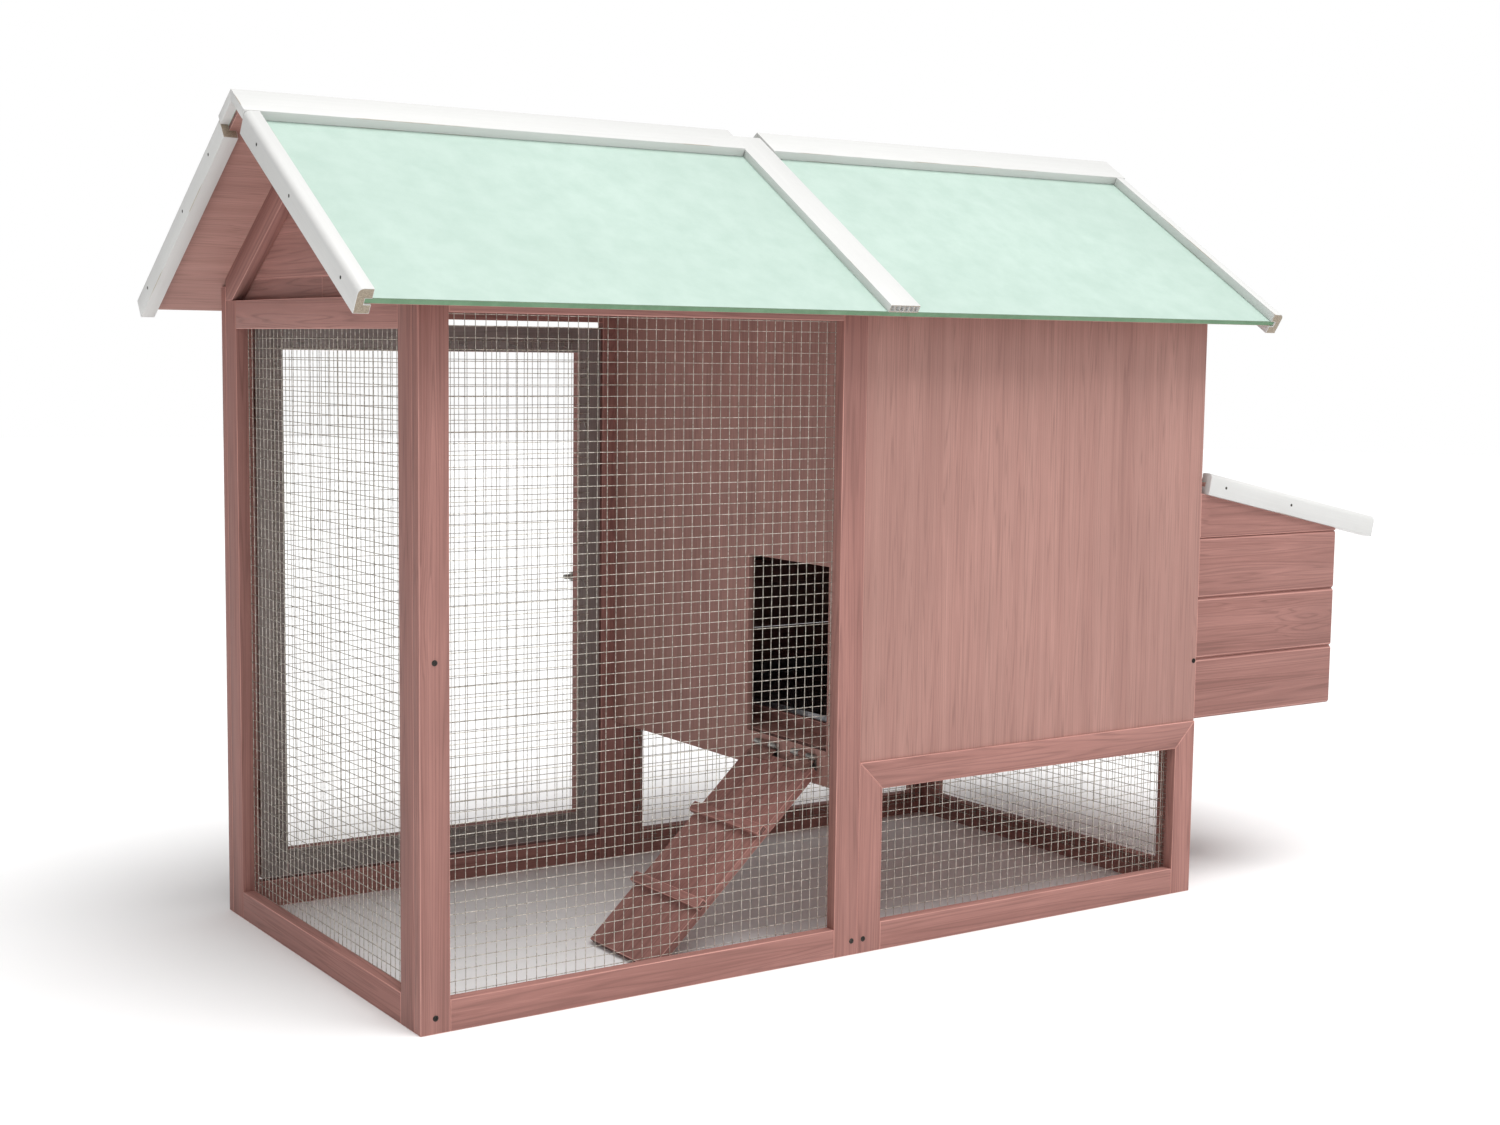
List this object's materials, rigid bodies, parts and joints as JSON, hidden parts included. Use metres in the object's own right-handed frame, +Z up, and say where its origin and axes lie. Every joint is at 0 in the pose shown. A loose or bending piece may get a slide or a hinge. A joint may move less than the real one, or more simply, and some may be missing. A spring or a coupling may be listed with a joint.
{
  "type": "chicken coop",
  "caption": "Wooden chicken coop with a mesh run, a raised house with ramp and pull-out tray, a lidded nest box on the end and a gable roof in two halves.",
  "frame": {"origin": "on the ground under the middle of the whole coop's box", "axes": "+X along the coop from the run to the nest box, +Y from the plain front to the side with the doors, +Z up"},
  "size_m": [1.633, 0.718, 1.0399],
  "materials": {
    "stained_fir": "matte",
    "stained_ply": "matte",
    "white_trim": "satin paint",
    "mint_sheet": "satin",
    "wire": "galvanised",
    "zinc_steel": "zinc plated",
    "tray_steel": "galvanised"
  },
  "bodies": {
    "coop": {"back_low_frame": "stained_fir", "back_low_mesh": "wire", "back_run_frame": "stained_fir", "back_wall_frame": "stained_fir", "bolt_keepers": "zinc_steel", "centre_strips": "white_trim", "fixed_hinge_leaves": "zinc_steel", "frame_screws": "zinc_steel", "front_low_frame": "stained_fir", "front_low_mesh": "wire", "front_run_frame": "stained_fir", "front_run_mesh": "wire", "front_wall_battens": "stained_fir", "front_wall_panel": "stained_ply", "gable_rafters": "stained_fir", "gable_trims": "white_trim", "hinge_pins": "zinc_steel", "house_floor": "stained_ply", "left_end_frame": "stained_fir", "left_end_mesh": "wire", "left_gable_planks": "stained_fir", "left_roof_decks": "stained_ply", "left_roof_sheets": "mint_sheet", "nest_back_planks": "stained_fir", "nest_divider": "stained_fir", "nest_end_planks": "stained_fir", "nest_floor": "stained_fir", "nest_front_planks": "stained_fir", "partition_panel": "stained_ply", "partition_rail": "stained_fir", "perch_brackets": "stained_fir", "ridge_beams": "stained_fir", "ridge_caps": "white_trim", "right_low_frame": "stained_fir", "right_low_mesh": "wire", "right_roof_decks": "stained_ply", "right_roof_sheets": "mint_sheet", "right_wall_panel": "stained_ply", "roost_perch": "stained_fir", "tray_runners": "stained_fir"},
    "run_door": {"run_door_frame": "stained_fir", "run_door_mesh": "wire", "run_door_hinge_leaves": "zinc_steel", "run_door_bolt_plate": "zinc_steel"},
    "run_bolt": {"run_door_bolt": "zinc_steel"},
    "house_door": {"house_door_panel": "stained_ply", "house_door_battens": "stained_fir", "house_door_hinge_leaves": "zinc_steel", "house_door_bolt_plate": "zinc_steel"},
    "house_bolt": {"house_door_bolt": "zinc_steel"},
    "nest_lid": {"lid_board": "stained_ply", "lid_sheet": "mint_sheet", "lid_trims": "white_trim", "lid_hinge_leaves": "zinc_steel"},
    "ramp": {"ramp_board": "stained_fir", "ramp_cleats": "stained_fir", "ramp_hinge_leaves": "zinc_steel"},
    "tray": {"tray_pan": "tray_steel", "tray_front": "stained_fir", "tray_knob": "stained_fir"}
  },
  "joints": [
    {"name": "run_door_hinge", "type": "hinge", "parent": "coop", "child": "run_door", "pos_m": [-0.6865, 0.3035, 0.41], "axis": [0, 0, 1], "range_deg": [0, 110]},
    {"name": "run_bolt_slide", "type": "slide", "parent": "run_door", "child": "run_bolt", "axis": [1, 0, 0], "range_m": [0, 0.013]},
    {"name": "house_door_hinge", "type": "hinge", "parent": "coop", "child": "house_door", "pos_m": [0.4175, 0.3035, 0.55], "axis": [0, 0, -1], "range_deg": [0, 110]},
    {"name": "house_bolt_slide", "type": "slide", "parent": "house_door", "child": "house_bolt", "axis": [-1, 0, 0], "range_m": [0, 0.013]},
    {"name": "nest_lid_hinge", "type": "hinge", "parent": "coop", "child": "nest_lid", "pos_m": [0.459, 0, 0.58323], "axis": [0, -1, 0], "range_deg": [0, 76]},
    {"name": "ramp_hinge", "type": "hinge", "parent": "coop", "child": "ramp", "pos_m": [-0.149, -0.163, 0.24], "axis": [0, 1, 0], "range_deg": [0, 122]},
    {"name": "tray_slide", "type": "slide", "parent": "coop", "child": "tray", "axis": [0, 1, 0], "range_m": [0, 0.5]}
  ]
}
